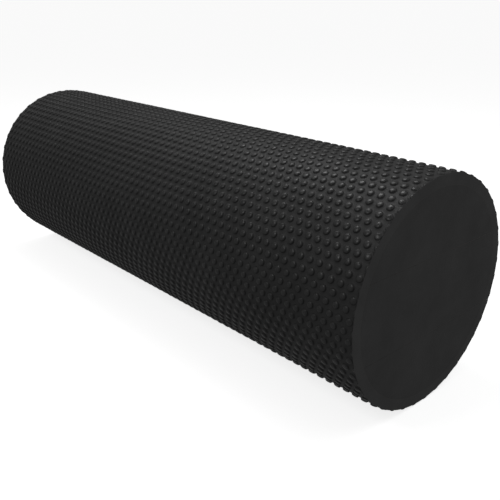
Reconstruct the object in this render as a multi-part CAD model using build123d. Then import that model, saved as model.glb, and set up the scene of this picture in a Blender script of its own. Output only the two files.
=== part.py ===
"""A solid EVA foam roller, lying on its side.

The core is three foam slabs glued flat on each other and turned round. A foam sheet, moulded with
rows of small nubs, is wrapped once round the core and glued, and its two long edges meet in a glued
butt seam. Both ends are sawn flush, so each end face shows the core and the sheet's cut edge.

Millimetres. The roller's axis runs along X at half its diameter above the floor, which is z = 0, and
the origin is on the floor under its middle. Angles about the axis start at +Y and turn towards +Z.
"""

from build123d import *
import os

PARTS_FOLDER = "parts"

# The whole roller.
LENGTH = 450.0
DIAMETER = 150.0  # over the tips of the nubs

# The textured sheet.
SHEET_BASE = 6.9  # from its glued face to the floor between its nubs
NUB_HEIGHT = 1.1
SEAM_WIDTH = 0.3
SEAM_ANGLE = -20.0  # low on the back

# The core and its glue.
SLAB_STOCK = 50.0  # the thickness that the foam slabs come in
GLUE_FILM = 0.2

# Worked out from those.
OUTER_RADIUS = DIAMETER / 2
VALLEY_RADIUS = OUTER_RADIUS - NUB_HEIGHT
SHEET_RADIUS = VALLEY_RADIUS - SHEET_BASE  # the sheet's glued face
CORE_RADIUS = SHEET_RADIUS - GLUE_FILM
AXIS_HEIGHT = OUTER_RADIUS
MIDDLE_TOP = SLAB_STOCK / 2  # the middle slab keeps its full thickness, centred on the axis
OUTER_SLAB_FACE = MIDDLE_TOP + GLUE_FILM


def lay_down(solid):
    """Turns a shape made about Z so that its axis lies along X, above the floor."""
    return Pos(0, 0, AXIS_HEIGHT) * Rot(0, 90, 0) * solid


def rod(radius):
    """A full-length round bar."""
    return lay_down(Cylinder(radius, LENGTH))


def tube(inner_radius, outer_radius):
    """A full-length tube."""
    return rod(outer_radius) - rod(inner_radius)


def layer(low, high):
    """Everything between two heights, measured from the axis, over the roller's whole length."""
    block = Box(LENGTH, DIAMETER, high - low)
    return Pos(0, 0, AXIS_HEIGHT + (low + high) / 2) * block


def seam_slot():
    """The gap where the sheet's long edges meet, from the core's middle out past the nubs."""
    reach = DIAMETER
    slot = Pos(0, reach / 2, 0) * Box(LENGTH, reach, SEAM_WIDTH)
    return Pos(0, 0, AXIS_HEIGHT) * Rot(SEAM_ANGLE, 0, 0) * slot


def core_part(low, high):
    """The part of the turned core between two heights."""
    return rod(CORE_RADIUS) & layer(low, high)


def textured_wrap():
    """The sheet as a plain shell out to the tips of its nubs, open along the seam."""
    return tube(SHEET_RADIUS, OUTER_RADIUS) - seam_slot()


def wrap_seam_glue():
    """The glue between the sheet's two long edges, no higher than the floor between the nubs."""
    return tube(SHEET_RADIUS, VALLEY_RADIUS) & seam_slot()


def make_parts():
    """Every separate piece of the roller, by its node's name."""
    return {
        "core_slab_middle": core_part(-MIDDLE_TOP, MIDDLE_TOP),
        "core_slab_upper": core_part(OUTER_SLAB_FACE, CORE_RADIUS),
        "core_slab_lower": core_part(-CORE_RADIUS, -OUTER_SLAB_FACE),
        "slab_glue_upper": core_part(MIDDLE_TOP, OUTER_SLAB_FACE),
        "slab_glue_lower": core_part(-OUTER_SLAB_FACE, -MIDDLE_TOP),
        "wrap_glue": tube(CORE_RADIUS, SHEET_RADIUS),
        "textured_wrap": textured_wrap(),
        "wrap_seam_glue": wrap_seam_glue(),
    }


os.makedirs(PARTS_FOLDER, exist_ok=True)
for node, shape in make_parts().items():
    export_step(shape, f"{PARTS_FOLDER}/{node}.step")
    print(node, "volume", round(shape.volume), "mm3")
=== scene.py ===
"""The looks of a solid EVA foam roller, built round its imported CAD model. Metres.

The roller lies along X. Its sheet is made flat first, as the real one is, and then wrapped. On the
flat sheet x runs along the roller, y runs round it and z stands up from the floor between the nubs.
Angles round the roller start at -Y, its front, and turn up over the top.
"""

import math

import bmesh
import bpy
import numpy as np
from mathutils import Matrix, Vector


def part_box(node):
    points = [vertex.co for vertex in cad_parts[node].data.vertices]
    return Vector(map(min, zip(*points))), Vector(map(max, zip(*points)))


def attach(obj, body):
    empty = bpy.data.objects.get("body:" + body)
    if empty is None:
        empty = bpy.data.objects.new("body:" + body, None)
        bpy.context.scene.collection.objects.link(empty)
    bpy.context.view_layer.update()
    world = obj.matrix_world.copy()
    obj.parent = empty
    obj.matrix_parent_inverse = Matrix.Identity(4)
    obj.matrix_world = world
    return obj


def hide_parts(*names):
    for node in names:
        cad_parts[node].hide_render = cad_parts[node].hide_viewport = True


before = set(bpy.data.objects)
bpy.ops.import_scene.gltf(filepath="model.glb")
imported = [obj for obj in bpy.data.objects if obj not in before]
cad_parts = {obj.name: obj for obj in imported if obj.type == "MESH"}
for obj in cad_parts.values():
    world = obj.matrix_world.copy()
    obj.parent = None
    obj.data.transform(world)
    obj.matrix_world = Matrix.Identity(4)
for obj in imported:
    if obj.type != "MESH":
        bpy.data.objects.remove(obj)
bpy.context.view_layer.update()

MM = 0.001
FULL_TURN = 2 * math.pi

# The roller's sizes, read from the frame to the nearest tenth of a millimetre.
wrap_low, wrap_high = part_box("textured_wrap")
LENGTH = round(wrap_high.x - wrap_low.x, 4)
OUTER_RADIUS = round((wrap_high.y - wrap_low.y) / 2, 4)
AXIS_HEIGHT = OUTER_RADIUS
SHEET_RADIUS = round(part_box("wrap_glue")[1].y, 4)
CORE_RADIUS = round(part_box("core_slab_middle")[1].y, 4)
MIDDLE_TOP = round(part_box("core_slab_middle")[1].z - AXIS_HEIGHT, 4)
OUTER_SLAB_FACE = round(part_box("core_slab_upper")[0].z - AXIS_HEIGHT, 4)
END = LENGTH / 2

# The sheet and the lattice of its nubs. Each row is shifted by half a pitch from the one before.
NUB_HEIGHT = 1.1 * MM
VALLEY_RADIUS = OUTER_RADIUS - NUB_HEIGHT
SHEET_BASE = VALLEY_RADIUS - SHEET_RADIUS
SEAM_WIDTH = 0.3 * MM
NUBS_ALONG = 64
NUB_ROWS = 77
PITCH = LENGTH / NUBS_ALONG
ROW_SPACING = FULL_TURN * OUTER_RADIUS / NUB_ROWS
LATTICE_ALONG = 0.9 * MM  # where the lattice starts on the sheet
LATTICE_AROUND = 1.3 * MM
LATTICE_SKEW = -0.004  # how far the rows climb for each unit along the roller

# A nub's outline from its foot to its top, as radius and height; the foot and shoulder are rounded.
NUB_RINGS = (
    (2.5 * MM, 0),
    (2.25 * MM, 0.13 * MM),
    (2.06 * MM, 0.62 * MM),
    (1.68 * MM, 0.9 * MM),
    (0.95 * MM, 1.05 * MM),
)
NUB_SIDES = 12
CELL_CORNERS = 6  # each nub stands in a six-sided cell of the sheet

# How one nub differs from the next: standard deviations, and the limits on its share of full height.
CENTRE_SPREAD = 0.06 * MM
WIDTH_SPREAD = 0.025
HEIGHT_MIDDLE, HEIGHT_SPREAD, HEIGHT_LIMITS = 0.98, 0.04, (0.86, 1.04)
LEAN_SPREAD = 0.03

# How the sheet was laid and worn.
RIPPLES = ((0.05 * MM, 3, 9, 1), (0.04 * MM, 5, -31, 2))  # height, waves round, twist, start
SUNK = 0.1 * MM  # keeps the ripples' crests inside the roller's full size
SEAM_DIP, SEAM_DIP_REACH = 0.25 * MM, 1.6 * MM
END_WEAR = 0.55  # how much of their height the nubs have lost right at the roller's ends
END_WEAR_REACH = 2.5 * MM

# The sheet's UV map: its parts side by side on a square of this size.
SHEET_MAP = 500 * MM
MAP_MARGIN = 1 * MM
MAP_BESIDE, MAP_ABOVE = 6 * MM, 4 * MM  # the gaps beside and above the nubbed side
MAP_STRIP = 10 * MM  # one of two cut edges
MAP_BACK = 22 * MM  # the glued face starts past both of them
BACK_SQUEEZE = 0.03  # and is drawn narrow, because it is never seen

CUT_REACH = 0.001 * MM  # a point nearer than this to a cut is on it
TURN_STEPS = 144  # round the core, the glue and the sheet's glued face
SAME_POINT = 0.01 * MM
FOAM_EASE = 0.04 * MM  # how far the sawn edges of the foam are eased
GLUE_EASE = 0.02 * MM
GLUE_SHORT = 0.03 * MM  # how far the glue stops short of the roller's ends

# The bead of glue in the seam.
BEAD_STEPS = 240
BEAD_LEVEL = -0.25 * MM  # its top's mean height above the floor between the nubs
BEAD_WAVE, BEAD_GRAIN, BEAD_CROWN = 0.12 * MM, 0.02 * MM, 0.05 * MM
BEAD_WAVE_TURNS = 160, 57  # radians per metre along the roller, of the two waves in its top

rng = np.random.default_rng(7)


def front_angle(y, z):
    """The angle round the roller of a point, from the front and up over the top."""
    return math.atan2(z - AXIS_HEIGHT, -y)


seam_low, seam_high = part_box("wrap_seam_glue")
seam_middle = (seam_low + seam_high) / 2
SEAM_ANGLE = front_angle(seam_middle.y, seam_middle.z) % FULL_TURN
SHEET_LOW = (SEAM_ANGLE - FULL_TURN) * OUTER_RADIUS + SEAM_WIDTH / 2
SHEET_HIGH = SEAM_ANGLE * OUTER_RADIUS - SEAM_WIDTH / 2


def wrapped(flat):
    """Where points of the flat sheet lie once it is wrapped round the roller."""
    angle = flat[:, 1] / OUTER_RADIUS
    radius = VALLEY_RADIUS + flat[:, 2]
    return np.column_stack(
        (flat[:, 0], -radius * np.cos(angle), AXIS_HEIGHT + radius * np.sin(angle))
    )


def new_piece(name, points, faces, smooth=()):
    """A mesh object in the scene. smooth says which faces are shaded smooth."""
    mesh = bpy.data.meshes.new(name)
    mesh.from_pydata([tuple(p) for p in points], [], faces)
    if len(smooth):
        mesh.polygons.foreach_set("use_smooth", smooth)
    piece = bpy.data.objects.new(name, mesh)
    bpy.context.scene.collection.objects.link(piece)
    return piece


def face_outwards(piece):
    """Makes every face of a closed mesh look outwards."""
    mesh = bmesh.new()
    mesh.from_mesh(piece.data)
    bmesh.ops.recalc_face_normals(mesh, faces=mesh.faces[:])
    mesh.to_mesh(piece.data)
    mesh.free()


# ---------------------------------------------------------------- the textured sheet


def lattice_place(half_steps, third_rows):
    """Points of the flat sheet, counted in half pitches along it and thirds of a row round it."""
    x = half_steps * PITCH / 2 + LATTICE_ALONG
    return np.column_stack((x, third_rows * ROW_SPACING / 3 + LATTICE_AROUND + LATTICE_SKEW * x))


def lattice():
    """The nubs' centres on the flat sheet, and the whole-number places of their cells' corners."""
    first_row = math.floor((SHEET_LOW - LATTICE_AROUND) / ROW_SPACING) - 1
    last_row = math.ceil((SHEET_HIGH - LATTICE_AROUND) / ROW_SPACING) + 1
    last_along = NUBS_ALONG // 2 + 2
    row, along = np.meshgrid(
        np.arange(first_row, last_row + 1), np.arange(-last_along, last_along + 1), indexing="ij"
    )
    row, along = row.ravel(), along.ravel()
    half_steps = 2 * along + row % 2
    centres = lattice_place(half_steps, 3 * row)
    around_a_nub = np.array([(1, 1), (0, 2), (-1, 1), (-1, -1), (0, -2), (1, -1)])
    corners = np.stack((half_steps, 3 * row), axis=1)[:, None, :] + around_a_nub
    return centres, corners


def nub_points(centres):
    """The points of every nub, ring by ring and then its tip. No two nubs are quite the same."""
    count = len(centres)
    turn = np.arange(NUB_SIDES) * FULL_TURN / NUB_SIDES
    centres = centres + rng.normal(0, CENTRE_SPREAD, (count, 2))
    wide = rng.normal(1, WIDTH_SPREAD, count)
    high = rng.normal(HEIGHT_MIDDLE, HEIGHT_SPREAD, count).clip(*HEIGHT_LIMITS)
    lean = rng.normal(0, LEAN_SPREAD, (count, 2))
    rings = []
    for radius, height in NUB_RINGS:
        out = np.stack((np.cos(turn), np.sin(turn)), axis=1) * radius
        plan = out[None] * wide[:, None, None]
        share = height / NUB_HEIGHT
        level = height * high[:, None] + share * (plan * lean[:, None, :]).sum(axis=2)
        rings.append(np.concatenate((centres[:, None, :] + plan, level[..., None]), axis=2))
    tips = np.column_stack((centres, NUB_HEIGHT * high))
    return np.concatenate((*rings, tips[:, None, :]), axis=1)


def nub_faces():
    """One nub's triangles and quads. Its cell's corners are numbered first, then its own points."""

    def ring(level, side):
        return CELL_CORNERS + level * NUB_SIDES + side % NUB_SIDES

    triangles, quads = [], []
    for corner in range(CELL_CORNERS):
        after = (corner + 1) % CELL_CORNERS
        first = 2 * corner + 1  # two of the nub's sides face each side of its cell
        triangles.append((corner, after, ring(0, first + 1)))
        triangles.append((corner, ring(0, first + 1), ring(0, first)))
        triangles.append((after, ring(0, first + 2), ring(0, first + 1)))
    top = len(NUB_RINGS) - 1
    tip = ring(top + 1, 0)
    for side in range(NUB_SIDES):
        for level in range(top):
            low = ring(level, side), ring(level, side + 1)
            high = ring(level + 1, side + 1), ring(level + 1, side)
            quads.append(low + high)
        triangles.append((ring(top, side), ring(top, side + 1), tip))
    return np.array(triangles), np.array(quads)


def flat_nub_field():
    """The sheet's outer surface, flat and larger than the sheet, as a mesh."""
    centres, corners = lattice()
    places, corner_of = np.unique(corners.reshape(-1, 2), axis=0, return_inverse=True)
    corner_points = np.column_stack((lattice_place(*places.T), np.zeros(len(places))))
    nubs = nub_points(centres)
    own = len(places) + np.arange(nubs.shape[0] * nubs.shape[1]).reshape(nubs.shape[:2])
    index = np.concatenate((corner_of.reshape(-1, CELL_CORNERS), own), axis=1)
    triangles, quads = nub_faces()
    mesh = bpy.data.meshes.new("nub_field")
    mesh.from_pydata(
        np.concatenate((corner_points, nubs.reshape(-1, 3))).tolist(),
        [],
        index[:, triangles].reshape(-1, 3).tolist() + index[:, quads].reshape(-1, 4).tolist(),
    )
    return mesh


def cut_to_size(mesh):
    """Cuts the flat field along the sheet's four edges."""
    field = bmesh.new()
    field.from_mesh(mesh)
    edges = (
        ((END, 0, 0), (1, 0, 0)),
        ((-END, 0, 0), (-1, 0, 0)),
        ((0, SHEET_HIGH, 0), (0, 1, 0)),
        ((0, SHEET_LOW, 0), (0, -1, 0)),
    )
    for place, outwards in edges:
        bmesh.ops.bisect_plane(
            field,
            geom=field.verts[:] + field.edges[:] + field.faces[:],
            dist=CUT_REACH,
            plane_co=place,
            plane_no=outwards,
            clear_outer=True,
        )
    field.to_mesh(mesh)
    field.free()


def nubbed_side():
    """The points and the faces of the sheet's outer side, flat and cut to size."""
    field = flat_nub_field()
    cut_to_size(field)
    points = np.empty(len(field.vertices) * 3)
    field.vertices.foreach_get("co", points)
    faces = [tuple(p.vertices) for p in field.polygons]
    bpy.data.meshes.remove(field)
    return points.reshape(-1, 3), faces


def on_cut(points, axis, value):
    """The numbers of the points on the cut at that x or y, in order along it."""
    chosen = np.nonzero(np.abs(points[:, axis] - value) < 2 * CUT_REACH)[0]
    return chosen[np.argsort(points[chosen, 1 - axis], kind="stable")].tolist()


def zipped(upper, lower, place):
    """Triangles that join two chains of points which run the same way."""
    faces = []
    a = b = 0
    while a < len(upper) - 1 or b < len(lower) - 1:
        upper_ends, lower_ends = a == len(upper) - 1, b == len(lower) - 1
        if lower_ends or (not upper_ends and place[upper[a + 1]] <= place[lower[b + 1]]):
            faces.append((upper[a], lower[b], upper[a + 1]))
            a += 1
        else:
            faces.append((upper[a], lower[b], lower[b + 1]))
            b += 1
    return faces


def settle(flat):
    """The sheet as it was glued on by hand: a little uneven, its edges drawn down and worn."""
    x, y, z = flat.T
    angle = y / OUTER_RADIUS
    ripple = sum(
        height * np.sin(waves * angle + twist * x + start) for height, waves, twist, start in RIPPLES
    )
    from_seam = np.minimum(y - SHEET_LOW, SHEET_HIGH - y)
    dip = SEAM_DIP * np.exp(-((from_seam / SEAM_DIP_REACH) ** 2))
    worn = 1 - END_WEAR * np.exp(-(((END - np.abs(x)) / END_WEAR_REACH) ** 2))
    return np.column_stack((x, y, z * worn + ripple - SUNK - dip))


def lay_out(x, y, z, part):
    """Each sheet corner's place on the map: the nubbed side as it is, the other parts beside it."""
    across, up = x + END, y - SHEET_LOW
    down = NUB_HEIGHT - z
    beside, above = LENGTH + MAP_BESIDE, SHEET_HIGH - SHEET_LOW + MAP_ABOVE
    places = {
        "nubs": (across, up),
        "end": (beside + down + MAP_STRIP * (x < 0), up),
        "back": (beside + MAP_BACK + across * BACK_SQUEEZE, up),
        "seam": (across, above + down + MAP_STRIP * (y < 0)),
    }
    return (np.column_stack(places[part]) + MAP_MARGIN) / SHEET_MAP


def make_sheet():
    """The textured sheet: nubs on the outside, four cut edges and the glued face."""
    flat, nubs = nubbed_side()
    count = len(flat)
    glued_y = np.linspace(SHEET_LOW, SHEET_HIGH, TURN_STEPS + 1)
    glued = [np.column_stack((np.full(len(glued_y), x), glued_y, 0 * glued_y)) for x in (-END, END)]
    points = np.concatenate((flat, *glued))
    left = list(range(count, count + len(glued_y)))
    right = list(range(count + len(glued_y), len(points)))

    x, y = points[:, 0], points[:, 1]
    ends = zipped(on_cut(flat, 0, END), right, y)
    ends += [f[::-1] for f in zipped(on_cut(flat, 0, -END), left, y)]
    seams = [f[::-1] for f in zipped(on_cut(flat, 1, SHEET_HIGH), [left[-1], right[-1]], x)]
    seams += zipped(on_cut(flat, 1, SHEET_LOW), [left[0], right[0]], x)
    back = [(left[k], left[k + 1], right[k + 1], right[k]) for k in range(TURN_STEPS)]
    faces = nubs + ends + seams + back
    parts = np.repeat(
        ("nubs", "end", "seam", "back"), (len(nubs), len(ends), len(seams), len(back))
    )

    height = (points[:, 2] / NUB_HEIGHT).clip(0, 1)
    points[:count] = settle(flat)
    points[count:, 2] = -SHEET_BASE
    smooth = np.isin(parts, ("nubs", "back"))
    sheet = new_piece("nubbed_sheet", wrapped(points), faces, smooth.tolist())

    part_of_corner = np.repeat(parts, [len(f) for f in faces])
    corners = points[np.concatenate([np.array(f) for f in faces])]
    uv = np.zeros((len(corners), 2))
    for part in np.unique(parts):
        chosen = part_of_corner == part
        uv[chosen] = lay_out(*corners[chosen].T, part)
    sheet.data.attributes.new("height", "FLOAT", "POINT").data.foreach_set("value", height)
    sheet.data.uv_layers.new(name="OFBake").data.foreach_set("uv", uv.ravel())
    sawn = np.isin(parts, ("end", "seam"))
    sheet.data.polygons.foreach_set("material_index", sawn.astype(int).tolist())
    return sheet


# ---------------------------------------------------------------- the core and the glue


def arc(radius, start, stop):
    """Points on a circle about the axis between two angles, both included, on the shared steps."""
    step = FULL_TURN / TURN_STEPS
    inner = np.arange(math.floor(start / step) + 1, math.ceil(stop / step)) * step
    angle = np.concatenate(([start], inner, [stop]))
    return [(-radius * math.cos(a), radius * math.sin(a)) for a in angle]


def slab_outline(low, high):
    """The outline, in Y and Z from the axis, of the part of the core between two heights."""
    bottom = math.asin(max(low / CORE_RADIUS, -1))
    top = math.asin(min(high / CORE_RADIUS, 1))
    points = arc(CORE_RADIUS, bottom, top) + arc(CORE_RADIUS, math.pi - top, math.pi - bottom)
    return [p for k, p in enumerate(points) if math.dist(p, points[k - 1]) > SAME_POINT]


def inset(outline, amount):
    """The outline drawn in by a small amount."""
    points = np.array(outline)
    along = np.roll(points, -1, axis=0) - np.roll(points, 1, axis=0)
    along /= np.linalg.norm(along, axis=1)[:, None]
    centre = points.mean(axis=0)
    inwards = np.column_stack((-along[:, 1], along[:, 0]))
    inwards *= np.sign((inwards * (centre - points)).sum(axis=1))[:, None]
    return points + inwards * amount


def sawn_bar(name, outline, ease, short=0.0):
    """A bar along X with that outline, its sawn edges eased, cut short of the ends by a little."""
    small = inset(outline, ease)
    stations = (
        (-END + short, small),
        (-END + short + ease, outline),
        (END - short - ease, outline),
        (END - short, small),
    )
    count = len(outline)
    last = len(stations) - 1
    points = [(x, y, AXIS_HEIGHT + z) for x, ring in stations for y, z in ring]
    faces = [tuple(range(count))[::-1]]
    for level in range(last):
        for k in range(count):
            a, b = level * count + k, level * count + (k + 1) % count
            faces.append((a, b, b + count, a + count))
    faces.append(tuple(range(last * count, len(points))))
    piece = new_piece(name, points, faces, [len(f) == 4 for f in faces])
    face_outwards(piece)
    return piece


def glue_tube():
    """The glue between the core and the sheet."""
    turn = np.arange(TURN_STEPS) * FULL_TURN / TURN_STEPS
    reach = END - GLUE_SHORT
    corners = (
        (-reach, CORE_RADIUS),
        (-reach, SHEET_RADIUS),
        (reach, SHEET_RADIUS),
        (reach, CORE_RADIUS),
    )
    points = [
        (x, -r * math.cos(a), AXIS_HEIGHT + r * math.sin(a)) for x, r in corners for a in turn
    ]
    faces = []
    for corner in range(len(corners)):
        here, there = corner * TURN_STEPS, (corner + 1) % len(corners) * TURN_STEPS
        for k in range(TURN_STEPS):
            after = (k + 1) % TURN_STEPS
            faces.append((here + k, here + after, there + after, there + k))
    piece = new_piece("sheet_glue", points, faces)
    face_outwards(piece)
    return piece


def seam_bead():
    """The glue in the seam, with an uneven top just under the floor between the nubs."""
    x = np.linspace(-END, END, BEAD_STEPS + 1)
    grain = rng.normal(0, BEAD_GRAIN, BEAD_STEPS + 1)
    quick, slow = BEAD_WAVE_TURNS
    top = BEAD_LEVEL + BEAD_WAVE * np.sin(x * quick) * np.sin(x * slow + 1) + grain
    middle = SEAM_ANGLE * OUTER_RADIUS
    half = SEAM_WIDTH / 2
    section = ((-half, False), (-half, True), (0, True), (half, True), (half, False))
    points = []
    for place, level in zip(x, top):
        for across, is_top in section:
            crown = BEAD_CROWN * (across == 0)
            points.append((place, middle + across, level + crown if is_top else -SHEET_BASE))
    size = len(section)
    faces = [tuple(range(size)), tuple(range(BEAD_STEPS * size, len(points)))[::-1]]
    for k in range(BEAD_STEPS):
        for c in range(size):
            a, b = k * size + c, k * size + (c + 1) % size
            faces.append((a, b, b + size, a + size))
    piece = new_piece("seam_glue_bead", wrapped(np.array(points)), faces)
    face_outwards(piece)
    return piece


# ---------------------------------------------------------------- materials

# The foam's marks, from slow changes of colour down to specks.
CLOUD_SIZE, DENT_SIZE, SPECK_SIZE = 28 * MM, 1.6 * MM, 0.9 * MM
SPECK_SHARE = 0.45  # how much the specks add to the clouds in the colour
DARK_SUM, LIGHT_SUM = 0.45, 1.0  # the sums of the two that give the dark and the light colour
SPECK_LOW, SPECK_HIGH = 0.3, 0.7  # the ends of the specks' range that set the gloss
DENT_DEPTH = 4  # times the relief of the foam's cells
BUMP_STRENGTH = 0.5

# Heights on the nubs, as shares of a full nub's. From SIDE_FOOT to SIDE_TOP the colour is darkened
# as painted shade, fading out by SHOULDER_TOP.
SIDE_FOOT, SIDE_TOP, SHOULDER_TOP = 0.06, 0.5, 0.8
POLISH_STARTS, POLISH_FULL = 0.55, 0.85

SMEAR_SIZE = 3 * MM  # of the dried glue
GLUE_WARMTH = 0.08  # how far its grey leans to red

MIX_A, MIX_B, MIX_RESULT = 6, 7, 2  # a Mix node's colour sockets, whose names aren't unique


def add_node(tree, kind, **sockets):
    """A new node; sockets are set by name, with underscores for spaces."""
    node = tree.nodes.new(kind)
    for name, value in sockets.items():
        node.inputs[name.replace("_", " ")].default_value = value
    return node


def add_ramp(tree, factor, stops):
    """The colour that a ramp of two or more (place, colour) stops gives to a factor."""
    ramp = add_node(tree, "ShaderNodeValToRGB")
    elements = ramp.color_ramp.elements
    for element, (place, colour) in zip(elements, (stops[0], stops[-1])):
        element.position = place
        element.color = colour
    for place, colour in stops[1:-1]:
        elements.new(place).color = colour
    tree.links.new(factor, ramp.inputs["Fac"])
    return ramp.outputs["Color"]


def add_bump(tree, height, strength, distance):
    """A bump node driven by that height."""
    bump = add_node(tree, "ShaderNodeBump", Strength=strength, Distance=distance)
    tree.links.new(height, bump.inputs["Height"])
    return bump


def new_material(name):
    """A new node material, with its node tree and its shader."""
    material = bpy.data.materials.new(name)
    material.use_nodes = True
    return material, material.node_tree, material.node_tree.nodes["Principled BSDF"]


def grey(value, warmth=0.0):
    """A near-neutral colour."""
    return (value * (1 + warmth), value, value * (1 - warmth), 1)


def foam_material(name, dark, light, roughness, cell, relief, specular):
    """EVA foam: slow colour changes, uneven gloss, and a fine relief of cells of the given size."""
    material, tree, surface = new_material(name)
    link = tree.links.new
    surface.inputs["Specular IOR Level"].default_value = specular

    place = add_node(tree, "ShaderNodeTexCoord").outputs["Object"]
    cloud = add_node(tree, "ShaderNodeTexNoise", Scale=1 / CLOUD_SIZE, Detail=4, Roughness=0.6)
    speck = add_node(tree, "ShaderNodeTexNoise", Scale=1 / SPECK_SIZE, Detail=3, Roughness=0.7)
    dents = add_node(tree, "ShaderNodeTexNoise", Scale=1 / DENT_SIZE, Detail=2)
    cells = add_node(tree, "ShaderNodeTexVoronoi", Scale=1 / cell)
    for texture in (cloud, speck, dents, cells):
        link(place, texture.inputs["Vector"])

    blend = add_node(tree, "ShaderNodeMath")
    blend.operation = "MULTIPLY_ADD"
    blend.inputs[1].default_value = SPECK_SHARE
    link(speck.outputs["Fac"], blend.inputs[0])
    link(cloud.outputs["Fac"], blend.inputs[2])
    colour = add_ramp(tree, blend.outputs[0], ((DARK_SUM, dark), (LIGHT_SUM, light)))
    link(colour, surface.inputs["Base Color"])

    gloss = add_node(
        tree,
        "ShaderNodeMapRange",
        From_Min=SPECK_LOW,
        From_Max=SPECK_HIGH,
        To_Min=roughness[0],
        To_Max=roughness[1],
    )
    link(speck.outputs["Fac"], gloss.inputs["Value"])
    link(gloss.outputs["Result"], surface.inputs["Roughness"])

    coarse = add_bump(tree, dents.outputs["Fac"], BUMP_STRENGTH, DENT_DEPTH * relief)
    fine = add_bump(tree, cells.outputs["Distance"], BUMP_STRENGTH, relief)
    link(coarse.outputs["Normal"], fine.inputs["Normal"])
    link(fine.outputs["Normal"], surface.inputs["Normal"])
    return material


def polish_tops_and_paint_shade(material, polish, painted_side_shade, painted_floor_shade):
    """Polish and painted shade on the nubbed skin, by the height above the floor between the nubs.

    Hands polish the tops, which lowers their roughness. The colour is darkened as painted shade: a
    little on the floor between the nubs, and far more on the nubs' sides.
    """
    tree = material.node_tree
    link = tree.links.new
    surface = tree.nodes["Principled BSDF"]
    height = add_node(tree, "ShaderNodeAttribute")
    height.attribute_name = "height"

    top = add_node(
        tree, "ShaderNodeMapRange", From_Min=POLISH_STARTS, From_Max=POLISH_FULL, To_Max=-polish
    )
    link(height.outputs["Fac"], top.inputs["Value"])
    rough = add_node(tree, "ShaderNodeMath")
    link(surface.inputs["Roughness"].links[0].from_socket, rough.inputs[0])
    link(top.outputs["Result"], rough.inputs[1])
    link(rough.outputs[0], surface.inputs["Roughness"])

    # Painted shade: the floor between the nubs a little darker than the tops, the nubs' sides far
    # darker.
    floor, side, full = grey(painted_floor_shade), grey(painted_side_shade), grey(1.0)
    stops = (0.0, floor), (SIDE_FOOT, side), (SIDE_TOP, side), (SHOULDER_TOP, full), (1.0, full)
    shade = add_ramp(tree, height.outputs["Fac"], stops)
    painted_shade_mix = add_node(tree, "ShaderNodeMix")
    painted_shade_mix.data_type = "RGBA"
    painted_shade_mix.blend_type = "MULTIPLY"
    painted_shade_mix.inputs["Factor"].default_value = 1.0
    link(surface.inputs["Base Color"].links[0].from_socket, painted_shade_mix.inputs[MIX_A])
    link(shade, painted_shade_mix.inputs[MIX_B])
    link(painted_shade_mix.outputs[MIX_RESULT], surface.inputs["Base Color"])


def glue_material():
    """Dried contact adhesive: nearly the foam's colour, and glossier in places."""
    material, tree, surface = new_material("contact_adhesive")
    link = tree.links.new
    place = add_node(tree, "ShaderNodeTexCoord").outputs["Object"]
    smear = add_node(tree, "ShaderNodeTexNoise", Scale=1 / SMEAR_SIZE, Detail=5, Roughness=0.65)
    link(place, smear.inputs["Vector"])
    colours = (0.0, grey(0.046, GLUE_WARMTH)), (1.0, grey(0.065, GLUE_WARMTH))
    link(add_ramp(tree, smear.outputs["Fac"], colours), surface.inputs["Base Color"])
    gloss = add_node(tree, "ShaderNodeMapRange", To_Min=0.35, To_Max=0.65)
    link(smear.outputs["Fac"], gloss.inputs["Value"])
    link(gloss.outputs["Result"], surface.inputs["Roughness"])
    bump = add_bump(tree, smear.outputs["Fac"], 0.4, 0.05 * MM)
    link(bump.outputs["Normal"], surface.inputs["Normal"])
    return material


# ---------------------------------------------------------------- floor, light and camera

FLOOR_REACH = 40.0
CAMERA_PLACE = (0.4171, -0.3184, AXIS_HEIGHT + 0.1677)
CAMERA_AZIMUTH, CAMERA_ELEVATION = math.radians(48.13), math.radians(21.34)
CAMERA_LENS, CAMERA_SENSOR = 47.44, 36


def make_floor():
    """A plain pale floor that throws no light back on the roller's underside."""
    far = FLOOR_REACH
    corners = [(-far, -far, 0), (far, -far, 0), (far, far, 0), (-far, far, 0)]
    floor = new_piece("floor", corners, [(0, 1, 2, 3)])
    material, _, surface = new_material("floor_white")
    surface.inputs["Base Color"].default_value = (0.8, 0.8, 0.8, 1)
    surface.inputs["Roughness"].default_value = 0.9
    surface.inputs["Specular IOR Level"].default_value = 0.0
    surface.inputs["Emission Color"].default_value = (1, 1, 1, 1)
    surface.inputs["Emission Strength"].default_value = 0.8
    floor.data.materials.append(material)
    floor.visible_diffuse = False
    floor.visible_glossy = False


def softbox(name, place, size, power):
    """A square soft light that points at the roller's middle."""
    light = bpy.data.lights.new(name, "AREA")
    light.size = size
    light.energy = power
    lamp = bpy.data.objects.new(name, light)
    bpy.context.scene.collection.objects.link(lamp)
    lamp.location = place
    towards = Vector((0, 0, AXIS_HEIGHT)) - Vector(place)
    lamp.rotation_euler = towards.to_track_quat("-Z", "Y").to_euler()


def make_world(lighting, seen):
    """A dim, even surround for lighting, which looks white to the camera."""
    world = bpy.data.worlds.new("studio")
    bpy.context.scene.world = world
    world.use_nodes = True
    tree = world.node_tree
    dim = tree.nodes["Background"]
    dim.inputs["Color"].default_value = (1, 1, 1, 1)
    dim.inputs["Strength"].default_value = lighting
    white = add_node(tree, "ShaderNodeBackground", Strength=seen)
    chooser = add_node(tree, "ShaderNodeMixShader")
    path = add_node(tree, "ShaderNodeLightPath")
    tree.links.new(path.outputs["Is Camera Ray"], chooser.inputs["Fac"])
    tree.links.new(dim.outputs[0], chooser.inputs[1])
    tree.links.new(white.outputs[0], chooser.inputs[2])
    tree.links.new(chooser.outputs[0], tree.nodes["World Output"].inputs["Surface"])


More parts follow.
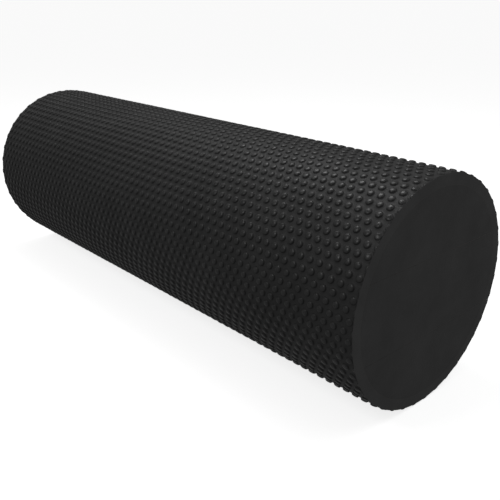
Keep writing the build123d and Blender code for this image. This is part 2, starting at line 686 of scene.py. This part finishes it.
def make_camera():
    """The camera stands off the roller's right end, above it, and sees it at three quarters."""
    camera = bpy.data.objects.new("camera", bpy.data.cameras.new("camera"))
    bpy.context.scene.collection.objects.link(camera)
    camera.data.sensor_width = CAMERA_SENSOR
    camera.data.lens = CAMERA_LENS
    camera.location = CAMERA_PLACE
    view = Vector(
        (
            -math.sin(CAMERA_AZIMUTH) * math.cos(CAMERA_ELEVATION),
            math.cos(CAMERA_AZIMUTH) * math.cos(CAMERA_ELEVATION),
            -math.sin(CAMERA_ELEVATION),
        )
    )
    camera.rotation_euler = view.to_track_quat("-Z", "Y").to_euler()
    bpy.context.scene.camera = camera


# ---------------------------------------------------------------- making it all

make_camera()
make_world(lighting=0.188, seen=1.0)
make_floor()
softbox("key", (-0.2, 0.13, 0.75), 0.3, 1.11)
softbox("front_top", (-0.1, -0.8, 0.85), 0.3, 1.4)
softbox("near_top", (0.5, 0.05, 0.8), 0.4, 0.42)
softbox("back_near", (0.45, 0.4, 0.7), 0.4, 0.38)
softbox("left", (-0.7, -0.05, 0.9), 0.4, 0.31)
softbox("low_fill", (-0.3, -1.0, 0.3), 0.6, 0.15)
bpy.context.scene.view_settings.view_transform = "Standard"

skin = foam_material(
    "foam_skin",
    dark=grey(0.020),
    light=grey(0.039),
    roughness=(0.52, 0.66),
    cell=0.35 * MM,
    relief=0.03 * MM,
    specular=0.43,
)
# Lower roughness on the nub tops, and painted shade on the floor between the nubs and on the nubs'
# sides.
polish_tops_and_paint_shade(skin, polish=0.28, painted_side_shade=0.3, painted_floor_shade=0.85)
sheet_cut = foam_material(
    "sheet_cut_edge",
    dark=grey(0.053),
    light=grey(0.079),
    roughness=(0.6, 0.75),
    cell=0.3 * MM,
    relief=0.05 * MM,
    specular=0.4,
)
core_cut = foam_material(
    "core_foam_cut",
    dark=grey(0.050),
    light=grey(0.073),
    roughness=(0.65, 0.8),
    cell=0.4 * MM,
    relief=0.05 * MM,
    specular=0.4,
)
glue = glue_material()

sheet = make_sheet()
sheet.data.materials.append(skin)
sheet.data.materials.append(sheet_cut)
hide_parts("textured_wrap")
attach(sheet, "root")

for node, low, high in (
    ("core_slab_upper", OUTER_SLAB_FACE, CORE_RADIUS),
    ("core_slab_middle", -MIDDLE_TOP, MIDDLE_TOP),
    ("core_slab_lower", -CORE_RADIUS, -OUTER_SLAB_FACE),
):
    slab = sawn_bar(node + "_foam", slab_outline(low, high), FOAM_EASE)
    slab.data.materials.append(core_cut)
    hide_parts(node)
    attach(slab, "root")

for node, low, high in (
    ("slab_glue_upper", MIDDLE_TOP, OUTER_SLAB_FACE),
    ("slab_glue_lower", -OUTER_SLAB_FACE, -MIDDLE_TOP),
):
    film = sawn_bar(node + "_film", slab_outline(low, high), GLUE_EASE, GLUE_SHORT)
    film.data.materials.append(glue)
    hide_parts(node)
    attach(film, "root")

for piece, node in ((glue_tube(), "wrap_glue"), (seam_bead(), "wrap_seam_glue")):
    piece.data.materials.append(glue)
    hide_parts(node)
    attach(piece, "root")
